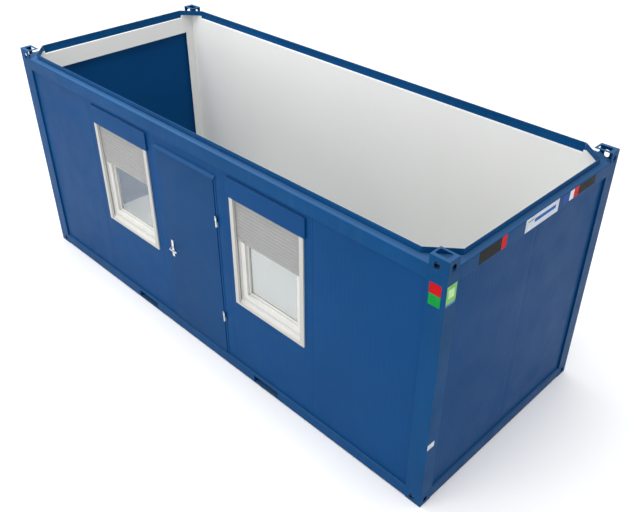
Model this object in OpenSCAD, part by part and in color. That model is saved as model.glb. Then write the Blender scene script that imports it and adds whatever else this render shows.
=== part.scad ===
// Open-topped office cabin on a welded steel container frame: a floor, five-bay walls,
// two windows with roller shutters, and a hinged door with a lever handle.
// Millimetres. The origin is the middle of the base, X runs along the front wall,
// Y from the front to the back and Z up.

/* [Overall size] */
// Length over the corner fittings
length = 6055; // [5800:5:6500]
// Width over the corner fittings
width = 2435; // [2400:5:2550]
// Height over the corner fittings
height = 2591; // [2560:1:2900]

/* [Steel frame] */
// Thickness of the folded steel sections
steel = 4; // [3:0.5:5]
// Width of a corner post on the long sides
post_long = 172; // [160:1:180]
// Width of a corner post on the ends
post_end = 150; // [140:1:160]
// Depth of the returned edges of a corner post
post_return = 62; // [50:1:66]
// Underside of the floor rails
rail_base = 12; // [10:1:20]
// Top of the floor rails
rail_top = 125; // [120:1:140]
// Depth of the floor rail flanges
rail_flange = 60; // [40:1:66]
// Lower edge of the roof rails
roof_low = 2372; // [2330:1:2380]

/* [Roof rail] */
// Height of the outer edge of the roof rails
roof_edge = 2505; // [2490:1:2520]
// Radius of that edge
roof_round = 14; // [6:1:20]
// Distance of the roof lip from the outer face
lip_inset = 50; // [45:1:60]
// Height where the lip rises from the flange
lip_foot = 2516; // [2508:1:2525]
// Top of the roof lip
lip_top = 2569; // [2550:1:2580]
// Lower edge of the inner web
web_low = 2476; // [2474:1:2490]
// Length of the cut corner along the long sides
cut_long = 286; // [240:1:320]
// Length of the cut corner along the ends
cut_end = 246; // [200:1:280]

/* [Corner fittings] */
// Height of a bottom corner fitting
fitting_low = 118; // [110:1:120]
// Height of a top corner fitting
fitting_top = 126; // [118:1:130]
// Depth of a top fitting from the long side
fitting_top_depth = 127; // [110:1:145]
// Depth of a bottom fitting from the long side
fitting_low_depth = 142; // [120:1:150]
// Thickness of the fitting plates
plate = 8; // [6:1:12]
// Length and width of the lifting hole
lift_hole = [114, 72]; // [60:1:124]
// Width of the lashing holes
lash_width = 48; // [40:1:52]
// Height of the lashing holes in the top fittings
lash_top = 70; // [60:1:80]
// Height of the lashing holes in the bottom fittings
lash_low = 60; // [50:1:70]

/* [Fork pockets] */
// Distance between the fork pocket centres
pocket_spacing = 2055; // [1650:5:2060]
// Clear width of a fork pocket
pocket_width = 352; // [300:1:370]
// Clear height of a fork pocket
pocket_height = 85; // [75:1:90]

/* [Walls] */
// Distance of the outer sheets behind the frame
recess = 20; // [14:1:24]
// Thickness of a wall panel without its lining
core = 50; // [40:1:50]
// Thickness of the inner lining
lining = 10; // [8:1:12]
// Joint between neighbouring wall panels
joint = 2; // [1:0.5:4]
// Distance from the middle to the inner side of a window bay
bay_inner = 565; // [560:1:570]
// Distance from the middle to the outer side of a window bay
bay_outer = 1695; // [1690:1:1720]

/* [Windows] */
// Distance of the window centres from the middle
window_x = 1123.5; // [1110:0.5:1140]
// Both windows stand this far to the right of that
window_shift = -7.5; // [-12:0.5:0]
// Width of a window frame
window_width = 955; // [900:5:980]
// Lower edge of the windows
window_sill = 937; // [900:1:1000]
// Upper edge of the windows
window_head = 2127; // [2100:1:2150]
// Width of the frame members
frame_member = 66; // [50:1:70]
// Width of the sash members
sash_member = 62; // [55:1:80]
// Length and height of a shutter box
box_size = [1006, 196]; // [180:1:1030]
// Width of the shutter guide rails
guide_width = 50; // [45:1:90]
// Lower edge of the lowered shutter
shutter_low = 1680; // [1010:5:2100]

/* [Door] */
// Centre of the door along the wall
door_x = -16.5; // [-30:0.5:30]
// Width over the door frame
door_width = 919; // [900:1:1000]
// Top of the door frame
door_head = 2245; // [2200:1:2260]
// Thickness of the door leaf
leaf_thick = 45; // [40:1:45]
// Height of the handle spindle
handle_z = 1105; // [1050:1:1150]
// Heights of the hinge centres
hinge_z = [634, 1771]; // [400:1:2000]

/* [Left end] */
// Half width of the opening in the left wall
end_open_half = 1030; // [900:5:1040]
// Top of the opening in the left wall
end_open_top = 2277; // [2200:1:2300]
// Thickness of the panel that closes it
end_panel = 20; // [15:1:30]

/* [Hidden] */
$fn = 48;
big = 10000;
floor_low = rail_top - steel;      // underside of the floor board
board_top = 143;
floor_top = 145;
core_in = recess + core;           // inner side of a wall panel
wall_in = core_in + lining;        // inner side of a wall
core_top = web_low - steel;
rise_top = lip_foot - 2 * steel;   // linings end just under the corner plates
post_top = height - fitting_top;
member_x = [240, 720, 1330, 1800, 2270, 2700];
member_flange = 50;
sash_gap = 2;
guide_front = 4;
guide_back = 46;
curtain_front = 32;
curtain_thick = 8;
window_back = 100;
sash_front = 50;
sash_back = 114;
pane = 4;
pane_gap = 14;
glass_front = 88;
jamb = 24;
stop_depth = 62;
stop_width = 24;
frame_front = 15;
leaf_front = 10;
leaf_gap_hinge = 5;
leaf_gap_lock = 7.5;
leaf_gap = 5;
threshold_top = 158;
hinge_w = -3;
hinge_r = 9;
hinge_tall = 104;
pin_r = 4;
pin_clear = 0.3;
lift_long = 96.5;
lift_end = 70;
lash_long = 102;
lash_end = 65;
door_left = door_x - door_width / 2;
door_right = door_x + door_width / 2;
hinge_x = door_right - jamb + 12;
leaf_left = door_left + jamb + leaf_gap_lock;
leaf_right = door_right - jamb - leaf_gap_hinge;
leaf_low = rail_top + 6;
leaf_top = door_head - jamb - leaf_gap;
handle_x = leaf_left + 70;
spindle_r = 6;
spindle_clear = 0.6;
neck_r = 10;
bar_r = 8;
bar_length = 120;
lever_reach = 48;

// Middle of the window on side s
function window_at(s) = s * window_x + window_shift;

// A box between two opposite corners
module slab(low, high) {
    translate(low) cube(high - low);
}

// Puts a shape drawn inward from a corner of the frame at the corner on side sx, sy
module corner(sx, sy) {
    translate([sx * length / 2, sy * width / 2, 0])
        mirror([sx > 0 ? 1 : 0, 0, 0]) mirror([0, sy > 0 ? 1 : 0, 0]) children();
}

// Puts a shape drawn inward from the front plane at the front
module front() {
    translate([0, -width / 2, 0]) children();
}

// Puts a shape drawn inward from the left plane at the left end
module left_end() {
    translate([-length / 2, 0, 0]) children();
}

// Extrudes a section, drawn inward and up, along X
module along_x(x0, x1) {
    translate([x0, 0, 0]) rotate([90, 0, 90]) linear_extrude(x1 - x0) children();
}

// Extrudes a section, drawn inward and up, along Y
module along_y(y0, y1) {
    translate([0, y1, 0]) rotate([90, 0, 0]) linear_extrude(y1 - y0) children();
}

// A rectangle with round corners
module round_rect(size, r) {
    translate([-size[0] / 2, -size[1] / 2 + r]) square([size[0], size[1] - 2 * r]);
    translate([-size[0] / 2 + r, -size[1] / 2]) square([size[0] - 2 * r, size[1]]);
    for (sx = [-1, 1], sy = [-1, 1])
        translate([sx * (size[0] / 2 - r), sy * (size[1] / 2 - r)]) circle(r);
}

// ---- Floor ----

module floor_section() {
    difference() {
        translate([0, rail_base]) square([rail_flange, rail_top - rail_base]);
        translate([steel, rail_base + steel])
            square([rail_flange, rail_top - rail_base - 2 * steel]);
    }
}

module floor_rail_long() {
    half = length / 2 - post_long;
    difference() {
        front() along_x(-half, half) floor_section();
        for (s = [-1, 1])
            slab([s * pocket_spacing / 2 - pocket_width / 2 - steel, -width / 2 - 1, 0],
                [s * pocket_spacing / 2 + pocket_width / 2 + steel,
                    -width / 2 + rail_flange + 1, rail_base + pocket_height + 2 * steel]);
    }
}

module floor_rail_front() {
    color([0.13, 0.31, 0.50]) floor_rail_long();
}

module floor_rail_back() {
    color([0.13, 0.31, 0.50]) mirror([0, 1, 0]) floor_rail_long();
}

// Runs between the posts, and below them on to the corner fittings
module floor_rail_left() {
    half = width / 2 - fitting_low_depth;
    post = width / 2 - post_end;
    color([0.13, 0.31, 0.50]) left_end() difference() {
        along_y(-half, half) floor_section();
        for (s = [-1, 1])
            slab([-1, min(s * post, s * big), fitting_low],
                [big, max(s * post, s * big), height]);
    }
}

module floor_rail_right() {
    mirror([1, 0, 0]) floor_rail_left();
}

module cross_member() {
    low = rail_base + 9;
    half = width / 2 - rail_flange;
    along_y(-half, half) difference() {
        translate([-member_flange / 2, low]) square([member_flange, floor_low - low]);
        translate([-member_flange / 2 + steel, low + steel])
            square([member_flange, floor_low - low - 2 * steel]);
    }
}

module floor_cross_members() {
    color([0.35, 0.37, 0.38])
        for (s = [-1, 1], x = member_x) translate([s * x, 0, 0]) cross_member();
}

module fork_pockets() {
    wide = pocket_width + 2 * steel;
    tall = pocket_height + 2 * steel;
    color([0.13, 0.31, 0.50])
        for (s = [-1, 1]) translate([s * pocket_spacing / 2, 0, 0])
            along_y(-width / 2, width / 2) difference() {
                translate([-wide / 2, rail_base]) square([wide, tall]);
                translate([-pocket_width / 2, rail_base + steel])
                    square([pocket_width, pocket_height]);
            }
}

// Floor sheet between the walls, carried on into the opening of the left wall
module floor_sheet(inset, low, high) {
    x = length / 2 - inset;
    y = width / 2 - inset;
    slab([-x, -y, low], [x, y, high]);
    slab([-length / 2 + recess + end_panel, -end_open_half, low], [-x + 1, end_open_half, high]);
}

module floor_board() {
    x = length / 2 - rail_flange - steel;
    y = width / 2 - rail_flange - steel;
    color([0.72, 0.60, 0.42]) union() {
        floor_sheet(core_in, rail_top, board_top);
        slab([-x, -y, floor_low], [x, y, rail_top]);
    }
}

module floor_covering() {
    color([0.74, 0.75, 0.74]) floor_sheet(wall_in, board_top, floor_top);
}

// ---- Corner fittings and posts ----

// Plates open towards the inside, drawn with the lifting hole up
module fitting(depth, tall, lash, lash_z) {
    difference() {
        cube([post_long, depth, tall]);
        slab([plate, plate, plate], [post_long + 1, depth + 1, tall - plate]);
        translate([lift_long, lift_end, tall - plate - 1])
            linear_extrude(plate + 2) round_rect(lift_hole, 14);
        translate([lash_long, -1, lash_z]) rotate([-90, 0, 0])
            linear_extrude(plate + 2) round_rect([lash_width, lash], lash_width / 2 - 1);
        translate([-1, lash_end, lash_z]) rotate([90, 0, 90])
            linear_extrude(plate + 2) round_rect([lash_width, lash], lash_width / 2 - 1);
    }
}

module top_fittings(sx) {
    color([0.13, 0.31, 0.50])
        for (sy = [-1, 1])
            corner(sx, sy) difference() {
                translate([0, 0, post_top])
                    fitting(fitting_top_depth, fitting_top, lash_top, fitting_top - 77);
                slab([core_in, core_in, 0], [big, big, post_top + plate + 1]);
            }
}

module bottom_fittings(sx) {
    color([0.13, 0.31, 0.50])
        for (sy = [-1, 1])
            corner(sx, sy) translate([0, 0, fitting_low]) mirror([0, 0, 1])
                fitting(fitting_low_depth, fitting_low, lash_low, fitting_low - 55);
}

module bottom_fittings_left() {
    bottom_fittings(-1);
}

module bottom_fittings_right() {
    bottom_fittings(1);
}

module top_fittings_left() {
    top_fittings(-1);
}

module top_fittings_right() {
    top_fittings(1);
}

module corner_post(sx, sy) {
    color([0.13, 0.31, 0.50]) corner(sx, sy)
        translate([0, 0, fitting_low])
            linear_extrude(post_top - fitting_low)
                polygon([
                    [0, 0], [post_long, 0], [post_long, post_return],
                    [post_long - steel, post_return], [post_long - steel, steel],
                    [steel, steel], [steel, post_end - steel],
                    [post_return, post_end - steel], [post_return, post_end], [0, post_end],
                ]);
}

module corner_post_front_left() {
    corner_post(-1, -1);
}

module corner_post_front_right() {
    corner_post(1, -1);
}

module corner_post_back_left() {
    corner_post(-1, 1);
}

module corner_post_back_right() {
    corner_post(1, 1);
}

// ---- Roof frame ----

// Outer web with a rounded top edge, a sloping flange, and a lip with an inner web
module roof_section() {
    r = roof_round;
    arc = [for (a = [180:-15:90]) [r + r * cos(a), roof_edge - r + r * sin(a)]];
    inner = [for (a = [90:15:180])
        [r + (r - steel) * cos(a), roof_edge - r + (r - steel) * sin(a)]];
    polygon(concat(
        [[0, roof_low]], arc,
        [[lip_inset, lip_foot], [lip_inset, lip_top], [lip_inset + steel, lip_top],
            [lip_inset + steel, web_low], [lip_inset, web_low], [lip_inset, lip_foot - steel]],
        inner,
        [[steel, roof_low + steel], [recess, roof_low + steel], [recess, roof_low]]
    ));
}

module roof_rail_long() {
    half = length / 2 - post_long;
    lip_half = length / 2 - cut_long;
    difference() {
        front() along_x(-half, half) roof_section();
        for (s = [-1, 1])
            slab([min(s * lip_half, s * big), -big, lip_foot],
                [max(s * lip_half, s * big), big, height]);
    }
}

module roof_rail_short() {
    low_half = width / 2 - post_end;
    half = width / 2 - fitting_top_depth;
    lip_half = width / 2 - cut_end;
    difference() {
        left_end() along_y(-half, half) roof_section();
        for (s = [-1, 1]) {
            slab([-big, min(s * lip_half, s * big), lip_foot],
                [big, max(s * lip_half, s * big), height]);
            slab([-big, min(s * low_half, s * big), 0],
                [big, max(s * low_half, s * big), post_top]);
        }
    }
}

module roof_rail_front() {
    color([0.15, 0.34, 0.54]) roof_rail_long();
}

module roof_rail_back() {
    color([0.15, 0.34, 0.54]) mirror([0, 1, 0]) roof_rail_long();
}

module roof_rail_left() {
    color([0.15, 0.34, 0.54]) roof_rail_short();
}

module roof_rail_right() {
    color([0.15, 0.34, 0.54]) mirror([1, 0, 0]) roof_rail_short();
}

// Flat corner plate with the lip that cuts the corner of the roof opening
module roof_gusset() {
    inner = lip_inset + steel;
    translate([0, 0, lip_foot - steel]) linear_extrude(steel)
        polygon([
            [cut_long, inner], [post_long, inner], [post_long, plate + 2],
            [plate + 2, fitting_top_depth], [inner, fitting_top_depth], [inner, cut_end],
        ]);
    translate([0, 0, lip_foot]) linear_extrude(lip_top - lip_foot)
        polygon([
            [cut_long, lip_inset], [cut_long - steel, lip_inset],
            [lip_inset, cut_end - steel], [lip_inset, cut_end],
        ]);
}

module roof_gussets() {
    color([0.20, 0.40, 0.60])
        for (sx = [-1, 1], sy = [-1, 1]) corner(sx, sy) roof_gusset();
}

// ---- Walls ----

// A piece of the front wall between two places along X and two heights
module front_panel(x0, x1, z0, z1) {
    front() slab([x0 + joint / 2, recess, z0], [x1 - joint / 2, core_in, z1]);
}

module front_wall_left() {
    color([0.12, 0.30, 0.48])
        front_panel(-length / 2 + post_long, -bay_outer, rail_top, core_top);
}

module front_wall_right() {
    color([0.12, 0.30, 0.48]) front_panel(bay_outer, length / 2 - post_long, rail_top, core_top);
}

module window_bay(s) {
    x0 = min(s * bay_inner, s * bay_outer);
    x1 = max(s * bay_inner, s * bay_outer);
    half = window_width / 2;
    color([0.12, 0.30, 0.48]) difference() {
        front_panel(x0, x1, rail_top, core_top);
        front() slab([window_at(s) - half, -1, window_sill],
            [window_at(s) + half, wall_in, window_head]);
        front() slab([window_at(s) - box_size[0] / 2, -1, window_head],
            [window_at(s) + box_size[0] / 2, wall_in, window_head + box_size[1]]);
    }
}

module front_wall_left_window() {
    window_bay(-1);
}

module front_wall_right_window() {
    window_bay(1);
}

module front_wall_beside_door_left() {
    color([0.12, 0.30, 0.48]) front_panel(-bay_inner, door_left, rail_top, core_top);
}

module front_wall_beside_door_right() {
    color([0.12, 0.30, 0.48]) front_panel(door_right, bay_inner, rail_top, core_top);
}

module front_wall_over_door() {
    color([0.12, 0.30, 0.48]) front_panel(door_left, door_right, door_head, core_top);
}

module back_wall() {
    edges = [-length / 2 + post_long, -bay_outer, -bay_inner, bay_inner, bay_outer,
        length / 2 - post_long];
    color([0.12, 0.30, 0.48]) mirror([0, 1, 0])
        for (i = [0:len(edges) - 2]) front_panel(edges[i], edges[i + 1], rail_top, core_top);
}

module right_wall() {
    half = width / 2 - post_end;
    color([0.15, 0.30, 0.46]) mirror([1, 0, 0]) left_end()
        for (s = [-1, 1])
            slab([recess, min(s * joint / 2, s * half), rail_top],
                [core_in, max(s * joint / 2, s * half), core_top]);
}

module left_wall_frame() {
    half = width / 2 - post_end;
    color([0.12, 0.30, 0.48]) left_end() difference() {
        slab([recess, -half, rail_top], [core_in, half, core_top]);
        slab([0, -end_open_half, 0], [wall_in, end_open_half, end_open_top]);
    }
}

module left_wall_panel() {
    color([0.10, 0.24, 0.42]) left_end()
        slab([recess, -end_open_half, rail_top], [recess + end_panel, end_open_half, end_open_top]);
}

// ---- Linings ----

// Lining board with a capping over the top of the wall
module lining_section() {
    polygon([
        [core_in, board_top], [wall_in, board_top], [wall_in, web_low],
        [lip_inset, web_low], [lip_inset, core_top], [core_in, core_top],
    ]);
}

// Space of the corner fittings, kept free by the linings
module fitting_space() {
    for (sx = [-1, 1], sy = [-1, 1])
        corner(sx, sy) {
            slab([-1, -1, post_top], [post_long, core_in, height]);
            slab([-1, -1, post_top], [core_in, fitting_top_depth, height]);
        }
}

// The boards rise to the corner plates of the roof frame at both ends
module long_lining() {
    half = length / 2 - core_in;
    rise = length / 2 - cut_long;
    difference() {
        front() {
            along_x(-half, half) lining_section();
            for (s = [-1, 1])
                slab([min(s * rise, s * half), core_in, core_top],
                    [max(s * rise, s * half), wall_in, rise_top]);
        }
        fitting_space();
    }
}

module end_lining() {
    half = width / 2 - wall_in;
    rise = width / 2 - cut_end;
    difference() {
        left_end() {
            along_y(-half, half) lining_section();
            for (s = [-1, 1])
                slab([core_in, min(s * rise, s * half), core_top],
                    [wall_in, max(s * rise, s * half), rise_top]);
        }
        fitting_space();
    }
}

module front_lining() {
    color([0.86, 0.86, 0.85]) difference() {
        long_lining();
        for (s = [-1, 1])
            front() slab([window_at(s) - window_width / 2, 0, window_sill],
                [window_at(s) + window_width / 2, wall_in + 1, window_head]);
        front() slab([door_left, 0, 0], [door_right, wall_in + 1, door_head]);
    }
}

module back_lining() {
    color([0.86, 0.86, 0.85]) mirror([0, 1, 0]) long_lining();
}

module right_lining() {
    color([0.86, 0.86, 0.85]) mirror([1, 0, 0]) end_lining();
}

module left_lining() {
    color([0.86, 0.86, 0.85]) difference() {
        end_lining();
        left_end() slab([0, -end_open_half, 0], [wall_in + 1, end_open_half, end_open_top]);
    }
}

// ---- Windows and shutters ----

// Places a window drawn around its own centre line at the front, on side s
module at_window(s) {
    front() translate([window_at(s), 0, 0]) children();
}

module window_frame(s) {
    half = window_width / 2;
    mid = (window_sill + window_head) / 2;
    clear = 1.5;
    color([0.90, 0.89, 0.87]) at_window(s) difference() {
        union() {
            difference() {
                slab([-half, guide_back, window_sill], [half, window_back, window_head]);
                slab([-half + frame_member, guide_back - 1, window_sill + frame_member],
                    [half - frame_member, window_back + 1, window_head - frame_member]);
            }
            along_x(-half, half)
                polygon([
                    [guide_front, window_sill], [guide_back + 1, window_sill],
                    [guide_back + 1, window_sill + 46], [16, window_sill + 24],
                    [guide_front, window_sill + 22],
                ]);
            for (g = [-1, 1])
                slab([min(g * half, g * (half - guide_width)), guide_front, window_sill],
                    [max(g * half, g * (half - guide_width)), guide_back, window_head]);
            slab([-half, curtain_front + curtain_thick + clear, window_head - 32],
                [half, guide_back, window_head]);
        }
        slab([-half + guide_width - 22, curtain_front - clear, window_sill + 45],
            [half - guide_width + 22, curtain_front + curtain_thick + clear, window_head + 1]);
    }
}

module window_sash(s) {
    half = window_width / 2 - frame_member - sash_gap;
    low = window_sill + frame_member + sash_gap;
    high = window_head - frame_member - sash_gap;
    rebate = 14;
    m = sash_member;
    glass_back = glass_front + 2 * pane + pane_gap;
    color([0.92, 0.91, 0.89]) at_window(s) difference() {
        slab([-half, sash_front, low], [half, sash_back, high]);
        slab([-half + m, 0, low + m], [half - m, big, high - m]);
        slab([-half + m - rebate, glass_front, low + m - rebate],
            [half - m + rebate, glass_back, high - m + rebate]);
    }
}

module window_glass(s) {
    m = sash_member - 10;
    half = window_width / 2 - frame_member - sash_gap - m;
    low = window_sill + frame_member + sash_gap + m;
    high = window_head - frame_member - sash_gap - m;
    color([0.75, 0.82, 0.83, 0.4]) at_window(s)
        for (y = [glass_front, glass_front + pane + pane_gap])
            slab([-half, y, low], [half, y + pane, high]);
}

module shutter_box(s) {
    half = box_size[0] / 2;
    slot = window_width / 2 - guide_width + 22;
    wall = 3;
    color([0.12, 0.30, 0.48]) at_window(s) difference() {
        slab([-half, 0, window_head], [half, core_in - 1, window_head + box_size[1]]);
        slab([-half + wall, wall, window_head + wall],
            [half - wall, core_in - 1 - wall, window_head + box_size[1] - wall]);
        slab([-slot, curtain_front - 2, window_head - 1],
            [slot, curtain_front + curtain_thick + 2, window_head + wall + 1]);
    }
}

module shutter_curtain(s) {
    half = window_width / 2 - guide_width + 20;
    color([0.69, 0.70, 0.69]) at_window(s)
        slab([-half, curtain_front, shutter_low],
            [half, curtain_front + curtain_thick, window_head + 60]);
}

module window_frame_left() {
    window_frame(-1);
}

module window_frame_right() {
    window_frame(1);
}

module window_sash_left() {
    window_sash(-1);
}

module window_sash_right() {
    window_sash(1);
}

module window_glass_left() {
    window_glass(-1);
}

module window_glass_right() {
    window_glass(1);
}

module shutter_box_left() {
    shutter_box(-1);
}

module shutter_box_right() {
    shutter_box(1);
}

module shutter_curtain_left() {
    shutter_curtain(-1);
}

module shutter_curtain_right() {
    shutter_curtain(1);
}

// ---- Door ----

// Jambs and head with a stop behind the leaf
module door_frame() {
    color([0.12, 0.30, 0.48]) front() difference() {
        slab([door_left, frame_front, rail_top], [door_right, wall_in, door_head]);
        slab([door_left - 1, core_in, 0], [door_right + 1, big, board_top]);
        slab([door_left + jamb, 0, 0], [door_right - jamb, stop_depth, door_head - jamb]);
        slab([door_left + jamb + stop_width, 0, 0],
            [door_right - jamb - stop_width, big, door_head - jamb - stop_width]);
    }
}

module door_drip() {
    color([0.17, 0.36, 0.56]) front() along_x(door_left - 8, door_right + 8)
        polygon([for (p = [
            [recess, 14], [12, 11], [-8, -4], [-12, -9], [-12, -20], [-9, -20],
            [-9, -10], [-6, -7], [12, 4], [recess, 5],
        ]) [p[0], door_head + p[1]]]);
}

module door_threshold() {
    inset = jamb + stop_width;
    color([0.68, 0.69, 0.70]) front() along_x(door_left + inset, door_right - inset)
        polygon([
            [stop_depth, rail_top], [core_in, rail_top], [core_in, board_top],
            [wall_in, board_top], [wall_in, threshold_top], [stop_depth, threshold_top],
        ]);
}

module door_leaf() {
    color([0.12, 0.30, 0.48]) front() difference() {
        slab([leaf_left, leaf_front, leaf_low], [leaf_right, leaf_front + leaf_thick, leaf_top]);
        translate([handle_x, 0, handle_z]) rotate([-90, 0, 0])
            cylinder(h = 100, r = spindle_r + spindle_clear);
    }
}

// Fixed lower knuckle, pin and plate of each hinge
module door_hinge_pins() {
    half = hinge_tall / 2;
    color([0.75, 0.76, 0.78]) front() for (z = hinge_z) translate([hinge_x, hinge_w, z]) {
        translate([0, 0, -half]) cylinder(h = half - 1, r = hinge_r);
        translate([0, 0, -2]) cylinder(h = half - 4, r = pin_r);
        slab([-6, 0, -half], [hinge_r, hinge_r + 1, -1]);
        slab([-6, hinge_r - 1, -half], [12, frame_front - hinge_w, -1]);
    }
}

// Moving upper knuckle and plate of each hinge
module door_hinge_knuckles() {
    half = hinge_tall / 2;
    back = leaf_front - hinge_w;
    color([0.75, 0.76, 0.78]) front() for (z = hinge_z) translate([hinge_x, hinge_w, z])
        difference() {
            union() {
                cylinder(h = half, r = hinge_r);
                slab([-hinge_r, 0, 0], [-pin_r - 2, back, half]);
                slab([-30, back - 5, 0], [-pin_r - 2, back, half]);
            }
            translate([0, 0, -1]) cylinder(h = half - 4, r = pin_r + pin_clear);
        }
}

module handle_plate() {
    difference() {
        slab([-18, 0, -110], [18, 8, 90]);
        rotate([-90, 0, 0]) translate([0, 0, -1])
            cylinder(h = 10, r = spindle_r + spindle_clear);
    }
}

module door_handle_plates() {
    color([0.78, 0.79, 0.80]) front() {
        translate([handle_x, leaf_front - 8, handle_z]) handle_plate();
        translate([handle_x, leaf_front + leaf_thick, handle_z]) handle_plate();
    }
}

// Spindle with a lever on each side of the leaf
module door_lever() {
    mid = leaf_front + leaf_thick / 2;
    half = leaf_thick / 2 + lever_reach;
    face = leaf_thick / 2 + 8 + 1;
    color([0.80, 0.81, 0.82]) front() translate([handle_x, mid, handle_z]) {
        translate([0, -half, 0]) rotate([-90, 0, 0]) cylinder(h = 2 * half, r = spindle_r);
        for (s = [-1, 1]) mirror([0, s > 0 ? 1 : 0, 0]) {
            translate([0, -half - bar_r, 0]) rotate([-90, 0, 0])
                cylinder(h = half + bar_r - face, r = neck_r);
            translate([0, -half, 0]) rotate([0, 90, 0]) cylinder(h = bar_length, r = bar_r);
        }
    }
}

floor_rail_front();
floor_rail_back();
floor_rail_left();
floor_rail_right();
floor_cross_members();
fork_pockets();
floor_board();
floor_covering();
bottom_fittings_left();
bottom_fittings_right();
top_fittings_left();
top_fittings_right();
corner_post_front_left();
corner_post_front_right();
corner_post_back_left();
corner_post_back_right();
roof_rail_front();
roof_rail_back();
roof_rail_left();
roof_rail_right();
roof_gussets();
front_wall_left();
front_wall_left_window();
front_wall_beside_door_left();
front_wall_over_door();
front_wall_beside_door_right();
front_wall_right_window();
front_wall_right();
back_wall();
right_wall();
left_wall_frame();
left_wall_panel();
front_lining();
back_lining();
right_lining();
left_lining();
window_frame_left();
window_frame_right();
window_sash_left();
window_sash_right();
window_glass_left();
window_glass_right();
shutter_box_left();
shutter_box_right();
shutter_curtain_left();
shutter_curtain_right();
door_frame();
door_drip();
door_threshold();
door_hinge_pins();
door_leaf();
door_hinge_knuckles();
door_handle_plates();
door_lever();
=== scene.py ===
"""Office cabin on a container frame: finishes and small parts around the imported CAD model."""

import math

import bmesh
import bpy
from bpy.props import FloatProperty, FloatVectorProperty, PointerProperty
from bpy.types import Operator, Panel, PropertyGroup
from mathutils import Matrix, Vector


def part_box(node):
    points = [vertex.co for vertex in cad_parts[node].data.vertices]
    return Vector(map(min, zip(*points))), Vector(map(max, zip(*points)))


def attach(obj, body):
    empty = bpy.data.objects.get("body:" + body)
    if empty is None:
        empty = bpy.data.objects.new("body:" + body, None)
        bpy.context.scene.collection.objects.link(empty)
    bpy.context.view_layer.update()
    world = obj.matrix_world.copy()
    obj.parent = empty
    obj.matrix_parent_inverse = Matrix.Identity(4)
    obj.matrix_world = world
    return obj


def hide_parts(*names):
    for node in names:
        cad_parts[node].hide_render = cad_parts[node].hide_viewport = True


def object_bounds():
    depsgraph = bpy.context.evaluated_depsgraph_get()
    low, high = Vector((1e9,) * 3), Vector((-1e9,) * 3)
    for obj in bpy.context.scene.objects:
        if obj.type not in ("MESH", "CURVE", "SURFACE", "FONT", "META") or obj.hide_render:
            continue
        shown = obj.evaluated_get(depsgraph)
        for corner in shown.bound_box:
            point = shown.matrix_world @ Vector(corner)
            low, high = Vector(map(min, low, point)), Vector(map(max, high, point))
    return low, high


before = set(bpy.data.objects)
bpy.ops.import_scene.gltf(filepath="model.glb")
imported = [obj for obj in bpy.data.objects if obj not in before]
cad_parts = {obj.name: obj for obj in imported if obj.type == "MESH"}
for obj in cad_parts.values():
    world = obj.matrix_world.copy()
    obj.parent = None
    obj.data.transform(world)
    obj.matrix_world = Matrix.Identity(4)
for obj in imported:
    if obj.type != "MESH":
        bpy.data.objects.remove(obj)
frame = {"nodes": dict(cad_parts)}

bl_info = {
    "name": "Office Cabin",
    "version": (1, 0, 0),
    "blender": (4, 5, 0),
    "location": "3D View > Sidebar > Cabin",
    "description": "Finishes and small parts of an open-topped office cabin",
    "category": "Object",
}

CAD_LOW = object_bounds()[0]
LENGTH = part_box("roof_rail_right")[1].x * 2
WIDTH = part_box("roof_rail_back")[1].y * 2
SIDES = {"left": -1, "right": 1}
MM = 0.001
# How far a shutter curtain runs into each guide rail
GUIDE_LAP = 0.020


def srgb(code):
    """Turns an sRGB hex colour into linear values."""
    parts = [int(code[i:i + 2], 16) / 255 for i in (1, 3, 5)]
    return tuple(c / 12.92 if c <= 0.04045 else ((c + 0.055) / 1.055) ** 2.4 for c in parts)


def size(name, text, value, low, high):
    """A length in millimetres for the sidebar."""
    return FloatProperty(
        name=name, description=text, default=value * MM, min=low * MM, max=high * MM,
        subtype="DISTANCE", unit="LENGTH", precision=4,
    )


def colour(name, text, code):
    """A colour for the sidebar, from its sRGB hex value."""
    return FloatVectorProperty(
        name=name, description=text, default=srgb(code), subtype="COLOR", size=3, min=0, max=1,
    )


class CabinSizes(PropertyGroup):
    rib_pitch: size("Rib pitch", "Distance between the fine ribs of the outer sheets", 50, 20, 120)
    rib_depth: size("Rib depth", "Depth of the fine ribs", 0.15, 0.05, 3)
    sheet: size("Sheet", "How far the outer sheets stand proud of their panels", 1.6, 0.8, 4)
    slat_pitch: size("Slat pitch", "Distance between the shutter slats", 37, 25, 60)
    bottom_bar: size("Bottom bar", "Height of the shutter's bottom bar", 44, 20, 80)
    steel: size("Steel", "Thickness of the folded steel sections", 4, 2, 6)
    rail_round: size("Rail edge", "Radius of the roof rail's outer edge", 14, 4, 25)
    edge_round: size("Edge", "Radius on the edges of the steel frame", 1.5, 0.3, 4)


class CabinColours(PropertyGroup):
    frame: colour("Frame", "Paint of the steel frame", "#084171")
    wall: colour("Walls", "Coating of the outer sheets", "#073E70")
    door: colour("Door", "Coating of the door leaf", "#003968")
    lining: colour("Lining", "Coated boards inside", "#E6E6E4")
    window: colour("Windows", "Window frames and sashes", "#CFCECA")
    # The guide colour is painted shade: it greys the front faces of the window frames, standing for
    # light that falls more from above than from the front.
    guide: colour("Guide rails", "Weathered front of the guide rails", "#B6B5B0")
    shutter: colour("Shutters", "Shutter slats", "#949493")
    floor: colour("Floor", "Sheet vinyl", "#A3A5A3")


# ---- Geometry ----


def along_x(a, b, t):
    return Vector((t, a, b))


def along_y(a, b, t):
    return Vector((a, t, b))


def upward(a, b, t):
    return Vector((a, b, t))


def prism(bm, outline, ends, place):
    """Extrudes a closed outline between two ends."""
    rings = [[bm.verts.new(place(a, b, t)) for a, b in outline] for t in ends]
    for i in range(len(outline)):
        j = (i + 1) % len(outline)
        bm.faces.new((rings[0][i], rings[0][j], rings[1][j], rings[1][i]))
    bm.faces.new(rings[0])
    bm.faces.new(rings[1])


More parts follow.
